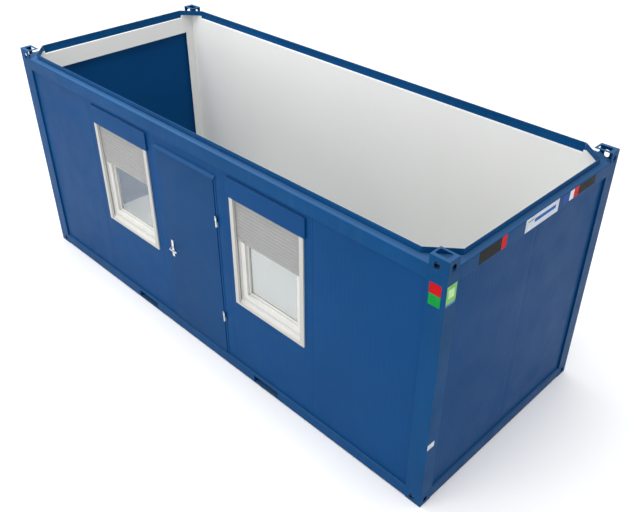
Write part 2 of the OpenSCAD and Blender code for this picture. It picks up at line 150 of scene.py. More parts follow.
def block(bm, low, high):
    """A box between two corners."""
    outline = [(low[0], low[1]), (high[0], low[1]), (high[0], high[1]), (low[0], high[1])]
    prism(bm, outline, (low[2], high[2]), upward)


def ring_around(bm, x0, x1, z0, z1, wide, y0, y1):
    """A rectangular ring in the plane of the front wall."""
    block(bm, (x0, y0, z0), (x1, y1, z0 + wide))
    block(bm, (x0, y0, z1 - wide), (x1, y1, z1))
    block(bm, (x0, y0, z0 + wide), (x0 + wide, y1, z1 - wide))
    block(bm, (x1 - wide, y0, z0 + wide), (x1, y1, z1 - wide))


def lathe(bm, centre, axis, profile, segments=32):
    """Turns a profile of (height, radius) pairs round an axis."""
    turn = Vector((0, 0, 1)).rotation_difference(Vector(axis)).to_matrix()
    rings = []
    for height, radius in profile:
        ring = []
        for i in range(segments):
            a = 2 * math.pi * i / segments
            at = Vector((radius * math.cos(a), radius * math.sin(a), height))
            ring.append(bm.verts.new(Vector(centre) + turn @ at))
        rings.append(ring)
    for low, high in zip(rings, rings[1:]):
        for i in range(segments):
            j = (i + 1) % segments
            bm.faces.new((low[i], low[j], high[j], high[i]))
    bm.faces.new(rings[0])
    bm.faces.new(rings[-1])


def sweep(bm, path, radii, segments=20, flat=1.0):
    """Runs a round or flattened section along a path."""
    points = [Vector(p) for p in path]
    side = None
    rings = []
    for i, point in enumerate(points):
        ahead = (points[min(i + 1, len(points) - 1)] - points[max(i - 1, 0)]).normalized()
        if side is None:
            side = ahead.orthogonal().normalized()
            if abs(ahead.z) < 0.9:
                side = Vector((0, 0, 1))
        side = (side - ahead * side.dot(ahead)).normalized()
        other = ahead.cross(side)
        ring = []
        for k in range(segments):
            a = 2 * math.pi * k / segments
            offset = side * math.cos(a) + other * math.sin(a) * flat
            ring.append(bm.verts.new(point + offset * radii[i]))
        rings.append(ring)
    for low, high in zip(rings, rings[1:]):
        for k in range(segments):
            j = (k + 1) % segments
            bm.faces.new((low[k], low[j], high[j], high[k]))
    bm.faces.new(rings[0])
    bm.faces.new(rings[-1])


def round_edges(obj, radius, segments=2):
    """Welds an object's corners together and rounds its edges."""
    weld = obj.modifiers.new("Weld", "WELD")
    weld.merge_threshold = 0.00005
    bevel = obj.modifiers.new("Edges", "BEVEL")
    bevel.width = radius
    bevel.segments = segments
    bevel.limit_method = "ANGLE"
    bevel.angle_limit = math.radians(32)
    bevel.harden_normals = True


def piece(name, bm, material, body="cabin", replaces=(), edges=0.0, smooth=38):
    """Makes a mesh into a piece that rides on a body."""
    bmesh.ops.recalc_face_normals(bm, faces=bm.faces)
    mesh = bpy.data.meshes.new(name)
    bm.to_mesh(mesh)
    bm.free()
    mesh.materials.append(material)
    mesh.shade_smooth()
    mesh.set_sharp_from_angle(angle=math.radians(smooth))
    obj = bpy.data.objects.new(name, mesh)
    bpy.context.scene.collection.objects.link(obj)
    if edges:
        round_edges(obj, edges)
    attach(obj, body)
    if replaces:
        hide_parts(*replaces)
    return obj


def dress(node, material, edges=0.0, segments=2):
    """Gives a CAD node its finish and rounds its edges."""
    obj = frame["nodes"][node]
    obj.data.materials.clear()
    obj.data.materials.append(material)
    if edges:
        round_edges(obj, edges, segments)
    return obj


# ---- Finishes ----


def add(tree, kind, inputs=None, **settings):
    """Adds a node with its settings, and its values or links."""
    node = tree.nodes.new(kind)
    for key, value in settings.items():
        setattr(node, key, value)
    for key, value in (inputs or {}).items():
        if isinstance(value, bpy.types.NodeSocket):
            tree.links.new(value, node.inputs[key])
        else:
            node.inputs[key].default_value = value
    return node


def per_metre(mm):
    """Texture scale for features of that size."""
    return 1000 / mm


def rgba(value, gain=1.0):
    return tuple(min(1.0, c * gain) for c in value[:3]) + (1.0,)


def surface(name):
    """A new material with its tree, its shader and the object's coordinates."""
    material = bpy.data.materials.new(name)
    material.use_nodes = True
    tree = material.node_tree
    tree.nodes.clear()
    shader = add(tree, "ShaderNodeBsdfPrincipled")
    add(tree, "ShaderNodeOutputMaterial", {"Surface": shader.outputs["BSDF"]})
    where = add(tree, "ShaderNodeTexCoord").outputs["Object"]
    return material, tree, shader, where


def noise(tree, where, mm, detail=2.0, rough=0.5, stretch=(1, 1, 1)):
    """Noise whose features have that size, stretched along an axis if asked."""
    moved = add(tree, "ShaderNodeMapping", {"Vector": where, "Scale": stretch})
    return add(
        tree, "ShaderNodeTexNoise",
        {"Vector": moved.outputs["Vector"], "Scale": per_metre(mm), "Detail": detail,
         "Roughness": rough},
    ).outputs["Fac"]


def ranged(tree, value, low, high, low_at=0.3, high_at=0.7):
    """Maps noise to a range."""
    return add(
        tree, "ShaderNodeMapRange",
        {"Value": value, "From Min": low_at, "From Max": high_at, "To Min": low, "To Max": high},
    ).outputs["Result"]


def blend(tree, factor, a, b):
    return add(
        tree, "ShaderNodeMix", {0: factor, 6: a, 7: b}, data_type="RGBA",
    ).outputs[2]


def bump(tree, shader, height, depth_mm, strength=1.0):
    node = add(
        tree, "ShaderNodeBump", {"Height": height, "Distance": depth_mm * MM, "Strength": strength},
    )
    tree.links.new(node.outputs["Normal"], shader.inputs["Normal"])


def ledge_dust_and_highlight(tree, tone, amount):
    """Lightens the faces that look up: settled dust, and a painted highlight on ledges and top
    edges.
    """
    normal = add(tree, "ShaderNodeNewGeometry").outputs["Normal"]
    up = add(tree, "ShaderNodeSeparateXYZ", {"Vector": normal}).outputs["Z"]
    return blend(tree, ranged(tree, up, 0, amount, 0.25, 0.9), tone, rgba(srgb("#7F9FBF")))


def alkyd_enamel(name, base, roughness=0.38, gloss=0.05):
    """Sprayed alkyd enamel on steel: an even, slightly clouded coat with an orange-peel skin
    and a trace of pale dust that rain has drawn down the faces."""
    material, tree, shader, where = surface(name)
    clouds = ranged(tree, noise(tree, where, 700, 3), 0, 1)
    tone = blend(tree, clouds, rgba(base, 0.90), rgba(base, 1.10))
    streaks = ranged(tree, noise(tree, where, 60, 3, 0.6, (1, 1, 0.06)), 0, 0.02, 0.5, 0.8)
    tone = blend(tree, streaks, tone, rgba(srgb("#8C9CAE")))
    # Up-facing faces are lightened towards pale blue: settled dust, and a painted highlight on
    # ledges and top edges.
    tone = ledge_dust_and_highlight(tree, tone, 0.14)
    tree.links.new(tone, shader.inputs["Base Color"])
    peel = noise(tree, where, 4, 2)
    patch = noise(tree, where, 180, 3)
    tree.links.new(
        ranged(tree, patch, roughness - 0.05, roughness + 0.07), shader.inputs["Roughness"]
    )
    bump(tree, shader, peel, 0.05, 0.5)
    shader.inputs["Specular IOR Level"].default_value = gloss
    shader.inputs["Specular Tint"].default_value = (0.5, 0.85, 1.0, 1.0)
    return material


def coated_sheet(name, base, roughness=0.42, gloss=0.05, wave=1.0, dust=0.14):
    """Coil-coated galvanised sheet: a thin satin coat with slow waves where the metal isn't
    quite flat, so that highlights wander a little."""
    material, tree, shader, where = surface(name)
    clouds = ranged(tree, noise(tree, where, 900, 3), 0, 1)
    tone = blend(tree, clouds, rgba(base, 1 - 0.06 * wave), rgba(base, 1 + 0.06 * wave))
    grain = ranged(tree, noise(tree, where, 2.5, 2), 0, 0.10 * wave)
    tone = blend(tree, grain, tone, rgba(base, 1.4))
    # The dust amount lightens the faces that look up: settled dust, and a painted highlight on
    # ledges and top edges.
    tone = ledge_dust_and_highlight(tree, tone, dust)
    tree.links.new(tone, shader.inputs["Base Color"])
    tree.links.new(
        ranged(tree, noise(tree, where, 240, 3), roughness - 0.04, roughness + 0.06),
        shader.inputs["Roughness"],
    )
    waves = noise(tree, where, 420, 1)
    fine = noise(tree, where, 5, 2)
    height = add(tree, "ShaderNodeMath", {0: waves, 1: 30.0}, operation="MULTIPLY").outputs[0]
    height = add(tree, "ShaderNodeMath", {0: height, 1: fine}, operation="ADD").outputs[0]
    bump(tree, shader, height, 0.03 * wave, 0.6)
    shader.inputs["Specular IOR Level"].default_value = gloss
    shader.inputs["Specular Tint"].default_value = (0.5, 0.85, 1.0, 1.0)
    return material


def moulded_pvc(name, base, roughness=0.34, grime=0.06, outer=None):
    """Extruded PVC: smooth, slightly waxy, a little dusty in patches, and greyed on the outer
    faces as painted shade, standing for light that falls on them less than on the reveals."""
    material, tree, shader, where = surface(name)
    patches = ranged(tree, noise(tree, where, 160, 4), 0, 1)
    tone = blend(tree, patches, rgba(base, 0.96), rgba(base, 1.03))
    dust = ranged(tree, noise(tree, where, 35, 4, 0.65, (1, 1, 0.4)), 0, grime, 0.45, 0.75)
    tone = blend(tree, dust, tone, rgba(srgb("#85827B")))
    if outer:
        # Faces within 30 mm of the front plane are blended to the outer colour: painted shade,
        # standing for light that falls more from above than from the front.
        depth = add(tree, "ShaderNodeSeparateXYZ", {"Vector": where}).outputs["Y"]
        face = -WIDTH / 2
        painted_front_shade = ranged(tree, depth, 1, 0, face + 0.006, face + 0.030)
        tone = blend(tree, painted_front_shade, tone, rgba(outer))
    tree.links.new(tone, shader.inputs["Base Color"])
    tree.links.new(
        ranged(tree, noise(tree, where, 50, 3), roughness - 0.05, roughness + 0.08),
        shader.inputs["Roughness"],
    )
    bump(tree, shader, noise(tree, where, 1.5, 2), 0.01, 0.5)
    shader.inputs["Specular IOR Level"].default_value = 0.2
    return material


def drawn_metal(name, base, roughness, grain_mm=1.0, stretch=(0.05, 1, 1), metallic=1.0):
    """Drawn or brushed metal: fine parallel lines that spread the highlight one way."""
    material, tree, shader, where = surface(name)
    lines = noise(tree, where, grain_mm, 3, 0.6, stretch)
    tone = blend(tree, ranged(tree, lines, 0, 1), rgba(base, 0.86), rgba(base, 1.08))
    tree.links.new(tone, shader.inputs["Base Color"])
    tree.links.new(
        ranged(tree, lines, roughness - 0.06, roughness + 0.10), shader.inputs["Roughness"]
    )
    shader.inputs["Metallic"].default_value = metallic
    bump(tree, shader, lines, 0.02, 0.6)
    return material


def galvanised(name):
    """Hot-dip galvanised steel: zinc crystals a few millimetres across, each a different grey."""
    material, tree, shader, where = surface(name)
    cells = add(tree, "ShaderNodeTexVoronoi", {"Vector": where, "Scale": per_metre(14)})
    flake = ranged(tree, cells.outputs["Color"], 0, 1, 0, 1)
    tone = blend(tree, flake, rgba(srgb("#8E9395")), rgba(srgb("#B4B8B9")))
    tree.links.new(tone, shader.inputs["Base Color"])
    tree.links.new(ranged(tree, flake, 0.38, 0.58, 0, 1), shader.inputs["Roughness"])
    shader.inputs["Metallic"].default_value = 0.9
    bump(tree, shader, noise(tree, where, 25, 3), 0.1, 0.4)
    return material


def sheet_vinyl(name, base):
    """Homogeneous sheet vinyl: light and dark chips a few millimetres long in a grey ground."""
    material, tree, shader, where = surface(name)
    chips = add(tree, "ShaderNodeTexVoronoi", {"Vector": where, "Scale": per_metre(9)})
    flake = ranged(tree, chips.outputs["Color"], 0, 1, 0, 1)
    tone = blend(tree, flake, rgba(base, 0.86), rgba(base, 1.12))
    scuffs = ranged(tree, noise(tree, where, 260, 5, 0.6), 0, 0.12, 0.5, 0.75)
    tone = blend(tree, scuffs, tone, rgba(srgb("#7E7F7C")))
    tree.links.new(tone, shader.inputs["Base Color"])
    tree.links.new(
        ranged(tree, noise(tree, where, 120, 4), 0.36, 0.56), shader.inputs["Roughness"]
    )
    bump(tree, shader, noise(tree, where, 3, 2), 0.05, 0.5)
    return material


def birch_plywood(name):
    """Raw plywood: long pale grain along the sheet with darker early wood."""
    material, tree, shader, where = surface(name)
    grain = noise(tree, where, 14, 5, 0.6, (0.04, 1, 1))
    tone = blend(tree, ranged(tree, grain, 0, 1), rgba(srgb("#A8834F")), rgba(srgb("#D0AC78")))
    tree.links.new(tone, shader.inputs["Base Color"])
    tree.links.new(ranged(tree, grain, 0.6, 0.8), shader.inputs["Roughness"])
    bump(tree, shader, grain, 0.2, 0.5)
    return material


def window_glass(name):
    """Float glass: clear, with the pale veil that a bright sky and a little dust lay on it."""
    material, tree, shader, where = surface(name)
    dust = noise(tree, where, 90, 4)
    tone = blend(tree, ranged(tree, dust, 0, 1), rgba(srgb("#DCE4E6")), rgba(srgb("#E6ECED")))
    tree.links.new(tone, shader.inputs["Base Color"])
    tree.links.new(ranged(tree, dust, 0.070, 0.085), shader.inputs["Alpha"])
    shader.inputs["Roughness"].default_value = 0.05
    shader.inputs["IOR"].default_value = 1.5
    return material


def epdm_rubber(name, code="#2A2C2D"):
    """Extruded rubber seal: dark, dull and finely pitted."""
    material, tree, shader, where = surface(name)
    pits = noise(tree, where, 1.2, 3)
    base = srgb(code)
    tone = blend(tree, ranged(tree, pits, 0, 1), rgba(base, 0.8), rgba(base, 1.25))
    tree.links.new(tone, shader.inputs["Base Color"])
    tree.links.new(ranged(tree, pits, 0.6, 0.8), shader.inputs["Roughness"])
    bump(tree, shader, pits, 0.05, 0.6)
    return material


def printed_film(name, code, roughness=0.4):
    """Self-adhesive film: a thin even print that has faded a little in the sun."""
    material, tree, shader, where = surface(name)
    base = srgb(code)
    fade = ranged(tree, noise(tree, where, 60, 4), 0, 1)
    tone = blend(tree, fade, rgba(base, 0.9), rgba(base, 1.1))
    tree.links.new(tone, shader.inputs["Base Color"])
    tree.links.new(
        ranged(tree, noise(tree, where, 20, 2), roughness - 0.05, roughness + 0.08),
        shader.inputs["Roughness"],
    )
    bump(tree, shader, noise(tree, where, 8, 2), 0.02, 0.4)
    shader.inputs["Specular IOR Level"].default_value = 0.03
    return material


def settings():
    return bpy.context.scene.cabin_sizes, bpy.context.scene.cabin_colours


def finish_named(name, make, *values, **more):
    """The finish of that name, made once."""
    return bpy.data.materials.get(name) or make(name, *values, **more)


def frame_paint():
    return finish_named("gentian_alkyd_enamel", alkyd_enamel, settings()[1].frame)


def wall_paint():
    return finish_named("gentian_coated_sheet", coated_sheet, settings()[1].wall)


def seal():
    return finish_named("epdm_seal", epdm_rubber)


def zinc():
    return finish_named(
        "bright_zinc_steel", drawn_metal, srgb("#D2D4D6"), 0.30, 1.5, (1, 1, 0.06)
    )


def satin_aluminium():
    return finish_named(
        "satin_anodised_aluminium", drawn_metal, srgb("#D6D7D8"), 0.30, 0.8, (0.08, 1, 1)
    )


# ---- Steel frame ----


def rail_outline(low, edge, foot, web, rounding, steel, reach, split):
    """The roof rail's lower web and its upper part, drawn inward and up."""
    steps = 10
    outer = []
    inner = []
    for i in range(steps + 1):
        a = math.pi - i * math.pi / 2 / steps
        outer.append((rounding + rounding * math.cos(a), edge - rounding + rounding * math.sin(a)))
        small = rounding - steel
        inner.append((rounding + small * math.cos(a), edge - rounding + small * math.sin(a)))
    lower = [
        (0, low), (0, split), (steel, split), (steel, low + steel), (5 * steel, low + steel),
        (5 * steel, low),
    ]
    upper = [(0, split)] + outer + [
        (reach, foot), (reach + steel, foot), (reach + steel, web), (reach, web),
        (reach, foot - steel),
    ] + inner[::-1] + [(steel, split)]
    return lower, upper


def screw_head(bm, centre, axis, radius=0.006, height=0.0025):
    """A low domed screw head."""
    lathe(bm, centre, axis, [
        (0, radius), (height * 0.4, radius), (height * 0.75, radius * 0.85),
        (height, radius * 0.45), (height * 0.7, radius * 0.40), (height * 0.7, 0.0001),
    ], 20)


class CABIN_OT_steel_frame(Operator):
    """Paint the posts, rails and corner fittings, and make the roof rails"""

    bl_idname = "cabin.steel_frame"
    bl_label = "Steel frame"

    def execute(self, context):
        sizes = settings()[0]
        paint = frame_paint()
        for node in frame["nodes"]:
            if node.startswith("corner_post"):
                dress(node, paint, sizes.edge_round)
            elif node.startswith(("floor_rail", "fork_pockets")):
                dress(node, paint, sizes.edge_round * 0.8)
            elif node.endswith("fittings_left") or node.endswith("fittings_right"):
                dress(node, paint, sizes.edge_round * 1.4, 3)
        dress("roof_gussets", paint, sizes.edge_round * 0.6)
        dress("floor_cross_members", finish_named("hot_dip_galvanised_steel", galvanised), 0.001)
        self.roof_rails(sizes, paint)
        self.joint_welds(paint)
        return {"FINISHED"}

    def roof_rails(self, sizes, paint):
        front_low, front_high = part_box("roof_rail_front")
        right_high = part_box("roof_rail_right")[1]
        gusset_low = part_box("roof_gussets")[0]
        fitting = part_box("top_fittings_right")[0]
        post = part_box("corner_post_front_right")
        steel = sizes.steel
        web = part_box("back_wall")[1].z + steel
        reach = front_high.y - front_low.y - steel
        foot = gusset_low.z + steel
        lower, upper = rail_outline(
            front_low.z, foot - 0.011, foot, web, sizes.rail_round, steel, reach,
            fitting.z,
        )
        lip = [(reach, foot), (reach, front_high.z), (reach + steel, front_high.z),
               (reach + steel, foot)]
        cut_long, cut_end = 0.286, 0.246
        for name, side in (("front", -1), ("back", 1)):
            bm = bmesh.new()
            half = front_high.x
            for outline, end in ((lower, half), (upper, half), (lip, LENGTH / 2 - cut_long)):
                turned = [(side * (WIDTH / 2 - w), z) for w, z in outline]
                prism(bm, turned, (-end, end), along_x)
            piece("roof_rail_%s_section" % name, bm, paint,
                  replaces=("roof_rail_%s" % name,), edges=0.0012)
        for name, side in SIDES.items():
            bm = bmesh.new()
            ends = (-post[1].y, right_high.y, WIDTH / 2 - cut_end)
            for outline, end in zip((lower, upper, lip), ends):
                turned = [(side * (LENGTH / 2 - w), z) for w, z in outline]
                prism(bm, turned, (-end, end), along_y)
            piece("roof_rail_%s_section" % name, bm, paint,
                  replaces=("roof_rail_%s" % name,), edges=0.0012)

    def joint_welds(self, paint):
        """Fillet welds between posts and fittings: a row of small overlapping beads."""
        bm = bmesh.new()
        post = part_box("corner_post_front_left")
        for sx in (-1, 1):
            for sy in (-1, 1):
                for z in (post[0].z, post[1].z):
                    self.bead(bm, Vector((sx * LENGTH / 2, sy * WIDTH / 2, z)), sx, sy)
        piece("post_welds", bm, paint, smooth=60)

    def bead(self, bm, corner, sx, sy):
        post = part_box("corner_post_front_right")
        wide, deep = post[1].x - post[0].x, post[1].y - post[0].y
        for axis, run in ((Vector((-sx, 0, 0)), wide), (Vector((0, -sy, 0)), deep)):
            other = Vector((0, sy, 0)) if axis.x else Vector((sx, 0, 0))
            count = int(run / 0.004)
            path, radii = [], []
            for i in range(count + 1):
                path.append(corner + axis * (run * i / count) - other * 0.0006)
                radii.append(0.0022 + 0.0004 * math.cos(i * math.pi))
            sweep(bm, path, radii, 8)


# ---- Walls ----


def rib_line(a, b, pitch, depth, base):
    """The line of a ribbed sheet between two edges: flat margins and even ribs."""
    margin = 0.018
    count = max(1, int((b - a - 2 * margin) / pitch))
    start = (a + b) / 2 - count * pitch / 2
    slope = 0.0035
    line = [(a, base)]
    for i in range(count):
        left = start + (i + 0.25) * pitch
        right = left + pitch / 2
        line += [(left - slope, base), (left, base + depth), (right, base + depth),
                 (right + slope, base)]
    line.append((b, base))
    return line


def clipped(line, a, b):
    """The part of a line between two places."""
    def value(x):
        for (x0, y0), (x1, y1) in zip(line, line[1:]):
            if x0 <= x <= x1:
                return y0 + (y1 - y0) * (x - x0) / max(x1 - x0, 1e-9)
        return line[-1][1]
    return [(a, value(a))] + [p for p in line if a + 1e-6 < p[0] < b - 1e-6] + [(b, value(b))]


class CABIN_OT_walls(Operator):
    """Cover the wall panels with finely ribbed outer sheets, and finish the linings"""

    bl_idname = "cabin.walls"
    bl_label = "Walls"

    def execute(self, context):
        sizes, colours = settings()
        self.sizes = sizes
        paint = wall_paint()
        for node in frame["nodes"]:
            if node.startswith("front_wall") or node in ("back_wall", "right_wall",
                                                         "left_wall_frame", "left_wall_panel"):
                dress(node, paint, 0.0006, 1)
        white = finish_named("white_coated_board", coated_sheet, colours.lining, 0.6, 0.12,
                             0.15, 0.0)
        for node in ("front_lining", "back_lining", "right_lining", "left_lining"):
            dress(node, white, 0.0008, 2)
        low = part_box("right_wall")[0].z + 0.0005
        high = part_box("roof_rail_front")[0].z - 0.0005
        self.front(paint, low, high)
        self.back(paint, low, high)
        self.ends(paint, low, high)
        return {"FINISHED"}

    def sheet(self, bm, line, side, plane, spans, place):
        """Stands a ribbed sheet on a wall's outer plane, over the given spans."""
        for a, b, z0, z1 in spans:
            part = clipped(line, a, b)
            outline = [(x, side * w) for x, w in part] + [(b, side * plane), (a, side * plane)]
            if place == "y":
                outline = [(w, x) for x, w in outline]
            prism(bm, outline, (z0, z1), upward)

    def front(self, paint, low, high):
        sizes = self.sizes
        plane = -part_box("front_wall_left")[0].y - 0.0001
        base = plane + sizes.sheet - sizes.rib_depth
        for node in [n for n in frame["nodes"] if n.startswith("front_wall")]:
            a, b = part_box(node)
            line = rib_line(a.x, b.x, sizes.rib_pitch, sizes.rib_depth, base)
            spans = [(a.x, b.x, max(low, a.z), high)]
            if node.endswith("window"):
                side = "left" if "left" in node else "right"
                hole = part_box("window_frame_" + side)
                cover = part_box("shutter_box_" + side)
                spans = [
                    (a.x, cover[0].x, low, high), (cover[1].x, b.x, low, high),
                    (cover[0].x, cover[1].x, cover[1].z, high),
                    (cover[0].x, cover[1].x, low, hole[0].z),
                    (cover[0].x, hole[0].x, hole[0].z, hole[1].z),
                    (hole[1].x, cover[1].x, hole[0].z, hole[1].z),
                ]
            bm = bmesh.new()
            self.sheet(bm, line, -1, plane, spans, "x")
            piece(node + "_sheet", bm, paint, smooth=20)

    def back(self, paint, low, high):
        sizes = self.sizes
        a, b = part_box("back_wall")
        plane = b.y - 0.0001
        base = plane + sizes.sheet - sizes.rib_depth
        inner = abs(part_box("front_wall_beside_door_left")[0].x)
        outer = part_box("front_wall_right")[0].x
        edges = [a.x, -outer, -inner, inner, outer, b.x]
        bm = bmesh.new()
        for x0, x1 in zip(edges, edges[1:]):
            x0, x1 = x0 + 0.001, x1 - 0.001
            line = rib_line(x0, x1, sizes.rib_pitch, sizes.rib_depth, base)
            self.sheet(bm, line, 1, plane, [(x0, x1, low, high)], "x")
        piece("back_wall_sheets", bm, paint, smooth=20)

    def ends(self, paint, low, high):
        sizes = self.sizes
        for name, side in SIDES.items():
            a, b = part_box("right_wall")
            plane = b.x - 0.0001
            base = plane + sizes.sheet - sizes.rib_depth
            bm = bmesh.new()
            for y0, y1 in ((a.y, -0.001), (0.001, b.y)):
                line = rib_line(y0, y1, sizes.rib_pitch, sizes.rib_depth, base)
                self.sheet(bm, line, side, plane, [(y0, y1, low, high)], "y")
            piece("%s_end_sheets" % name, bm, paint, smooth=20)


class CABIN_OT_floor(Operator):
    """Finish the floor board and its vinyl covering"""

    bl_idname = "cabin.floor"
    bl_label = "Floor"

    def execute(self, context):
        colours = settings()[1]
        dress("floor_board", finish_named("birch_plywood", birch_plywood), 0.0008)
        dress("floor_covering", finish_named("grey_sheet_vinyl", sheet_vinyl, colours.floor))
        return {"FINISHED"}


# ---- Windows ----


class CABIN_OT_windows(Operator):
    """Finish the window frames and sashes, and add beads, seals, spacers and handles"""

    bl_idname = "cabin.windows"
    bl_label = "Windows"

    def execute(self, context):
        colours = settings()[1]
        # colours.guide greys the front faces of the frames as painted shade.
        pvc = finish_named("off_white_window_pvc", moulded_pvc, colours.window, 0.4, 0.05,
                           colours.guide)
        grey = finish_named("grey_window_seal", epdm_rubber, "#D3D2CD")
        glass = finish_named("float_glass", window_glass)
        for side in SIDES:
            dress("window_frame_" + side, pvc, 0.0025, 3)
            dress("window_sash_" + side, pvc, 0.003, 3)
            dress("window_glass_" + side, glass)
            self.beads(side, pvc, grey)
            self.spacer(side)
            self.handle(side, pvc)
            self.drains(side, pvc)
        return {"FINISHED"}

    def clear_opening(self, side):
        """The visible glass between the sash members."""
        low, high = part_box("window_glass_" + side)
        lap = 0.010
        return low.x + lap, high.x - lap, low.z + lap, high.z - lap

    def beads(self, side, pvc, grey):
        x0, x1, z0, z1 = self.clear_opening(side)
        low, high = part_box("window_glass_" + side)
        bm = bmesh.new()
        for wide, y0, y1 in ((0.016, low.y - 0.012, low.y - 0.0005),
                             (0.014, high.y + 0.0005, high.y + 0.006)):
            ring_around(bm, x0, x1, z0, z1, wide, y0, y1)
        piece("window_beads_" + side, bm, pvc, edges=0.003)
        bm = bmesh.new()
        ring_around(bm, x0 + 0.0155, x1 - 0.0155, z0 + 0.0155, z1 - 0.0155, 0.003,
                    low.y - 0.004, low.y - 0.0003)
        piece("window_glass_seal_" + side, bm, grey, edges=0.0008)
        sash_low, sash_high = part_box("window_sash_" + side)
        bm = bmesh.new()
        ring_around(bm, sash_low.x - 0.0018, sash_high.x + 0.0018, sash_low.z - 0.0018,
                    sash_high.z + 0.0018, 0.0016, sash_low.y + 0.006, sash_low.y + 0.012)
        piece("window_sash_seal_" + side, bm, grey)

    def spacer(self, side):
        low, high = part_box("window_glass_" + side)
        edge = finish_named("light_grey_spacer", moulded_pvc, srgb("#D6D7D4"))
        bm = bmesh.new()
        ring_around(bm, low.x + 0.004, high.x - 0.004, low.z + 0.004, high.z - 0.004, 0.009,
                    low.y + 0.0043, high.y - 0.0043)
        piece("window_spacer_" + side, bm, edge)

    def handle(self, side, pvc):
        sash_low, sash_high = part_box("window_sash_" + side)
        at = sash_high.x - 0.031
        mid = (sash_low.z + sash_high.z) / 2
        y = sash_high.y
        bm = bmesh.new()
        block(bm, (at - 0.014, y, mid - 0.036), (at + 0.014, y + 0.008, mid + 0.036))
        piece("window_handle_plate_" + side, bm, pvc, edges=0.003)
        bm = bmesh.new()
        path = [(at, y + 0.006 + 0.030 * t / 4, mid) for t in range(5)]
        radii = [0.009] * 5
        for i in range(1, 7):
            a = math.pi / 2 * i / 6
            path.append((at, y + 0.036 + 0.008 * math.sin(a), mid - 0.008 * (1 - math.cos(a))))
            radii.append(0.009)
        for i in range(1, 9):
            path.append((at, y + 0.044, mid - 0.008 - 0.104 * i / 8))
            radii.append(0.009 + 0.001 * math.sin(math.pi * i / 8) - (0.004 if i == 8 else 0))
        sweep(bm, path, radii, 20)
        piece("window_handle_" + side, bm, pvc, smooth=60)

    def drains(self, side, pvc):
        """Small drain covers on the outer sill."""
        low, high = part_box("window_frame_" + side)
        bm = bmesh.new()
        for x in (low.x + 0.20, high.x - 0.20):
            block(bm, (x - 0.014, low.y - 0.0018, low.z + 0.006),
                  (x + 0.014, low.y + 0.0005, low.z + 0.014))
        piece("window_drains_" + side, bm, pvc, edges=0.0008)


class CABIN_OT_shutters(Operator):
    """Build the shutter slats, their bottom bars and brush seals, and finish the boxes"""

    bl_idname = "cabin.shutters"
    bl_label = "Roller shutters"

    def execute(self, context):
        sizes, colours = settings()
        slat = finish_named("grey_shutter_pvc", moulded_pvc, colours.shutter, 0.5, 0.04)
        for side in SIDES:
            dress("shutter_box_" + side, wall_paint(), 0.0025, 3)
            self.curtain(side, sizes, slat)
            self.brushes(side)
            self.box_screws(side)
        return {"FINISHED"}

    def curtain(self, side, sizes, slat):
        low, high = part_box("shutter_curtain_" + side)
        y0, y1 = low.y, high.y
        deep = y1 - y0
        bm = bmesh.new()
        bar = sizes.bottom_bar
        outline = [
            (y0, low.z + 0.006), (y0 + 0.002, low.z + 0.003), (y1 - 0.002, low.z + 0.003),
            (y1, low.z + 0.006), (y1, low.z + bar), (y0 + 0.003, low.z + bar),
            (y0 + 0.0006, low.z + bar - 0.004), (y0, low.z + bar - 0.012),
        ]
        prism(bm, outline, (low.x, high.x), along_x)
        rubber = [(y0 + 0.002, low.z), (y1 - 0.002, low.z), (y1 - 0.002, low.z + 0.0032),
                  (y0 + 0.002, low.z + 0.0032)]
        prism(bm, rubber, (low.x + 0.004, high.x - 0.004), along_x)
        z = low.z + bar
        while z + sizes.slat_pitch < high.z:
            top = z + sizes.slat_pitch
            # Each slat bows outward and hooks over the one below, with a narrow shadow between
            face = []
            for i in range(9):
                t = i / 8
                face.append((y0 + 0.0020 * (2 * t - 1) ** 2, z + 0.0020 + (top - z - 0.0020) * t))
            outline = face + [(y0 + 0.0052, top), (y1, top - 0.003), (y1, z + 0.002),
                              (y0 + 0.0052, z)]
            prism(bm, outline, (low.x, high.x), along_x)
            z = top
        block(bm, (low.x + 0.002, y0 + deep * 0.70, low.z + bar), (high.x - 0.002, y1, z))
        piece("shutter_slats_" + side, bm, slat,
              replaces=("shutter_curtain_" + side,), smooth=25)
        bm = bmesh.new()
        for x in (low.x + 0.12, high.x - 0.12):
            lathe(bm, (x, y0 + 0.0005, low.z + bar * 0.45), (0, -1, 0),
                  [(0, 0.008), (0.006, 0.008), (0.0075, 0.0065), (0.008, 0.003)], 24)
        piece("shutter_stops_" + side, bm, slat)

    def brushes(self, side):
        """Brush seals in the mouths of the guide rails."""
        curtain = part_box("shutter_curtain_" + side)
        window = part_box("window_frame_" + side)
        bm = bmesh.new()
        y = curtain[0].y
        for x, way in ((curtain[0].x + GUIDE_LAP, -1), (curtain[1].x - GUIDE_LAP, 1)):
            a, b = sorted((x, x + way * 0.004))
            block(bm, (a, y - 0.0013, window[0].z + 0.05), (b, y - 0.0002, window[1].z))
        brush = finish_named("grey_brush_seal", epdm_rubber, "#8B8B87")
        piece("shutter_brushes_" + side, bm, brush)

    def box_screws(self, side):
        low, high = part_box("shutter_box_" + side)
        bm = bmesh.new()
        for x in (low.x + 0.02, (low.x + high.x) / 2, high.x - 0.02):
            screw_head(bm, (x, low.y, high.z - 0.018), (0, -1, 0), 0.005)
            screw_head(bm, (x, low.y, low.z + 0.018), (0, -1, 0), 0.005)
        piece("shutter_box_screws_" + side, bm, wall_paint())


# ---- Door ----


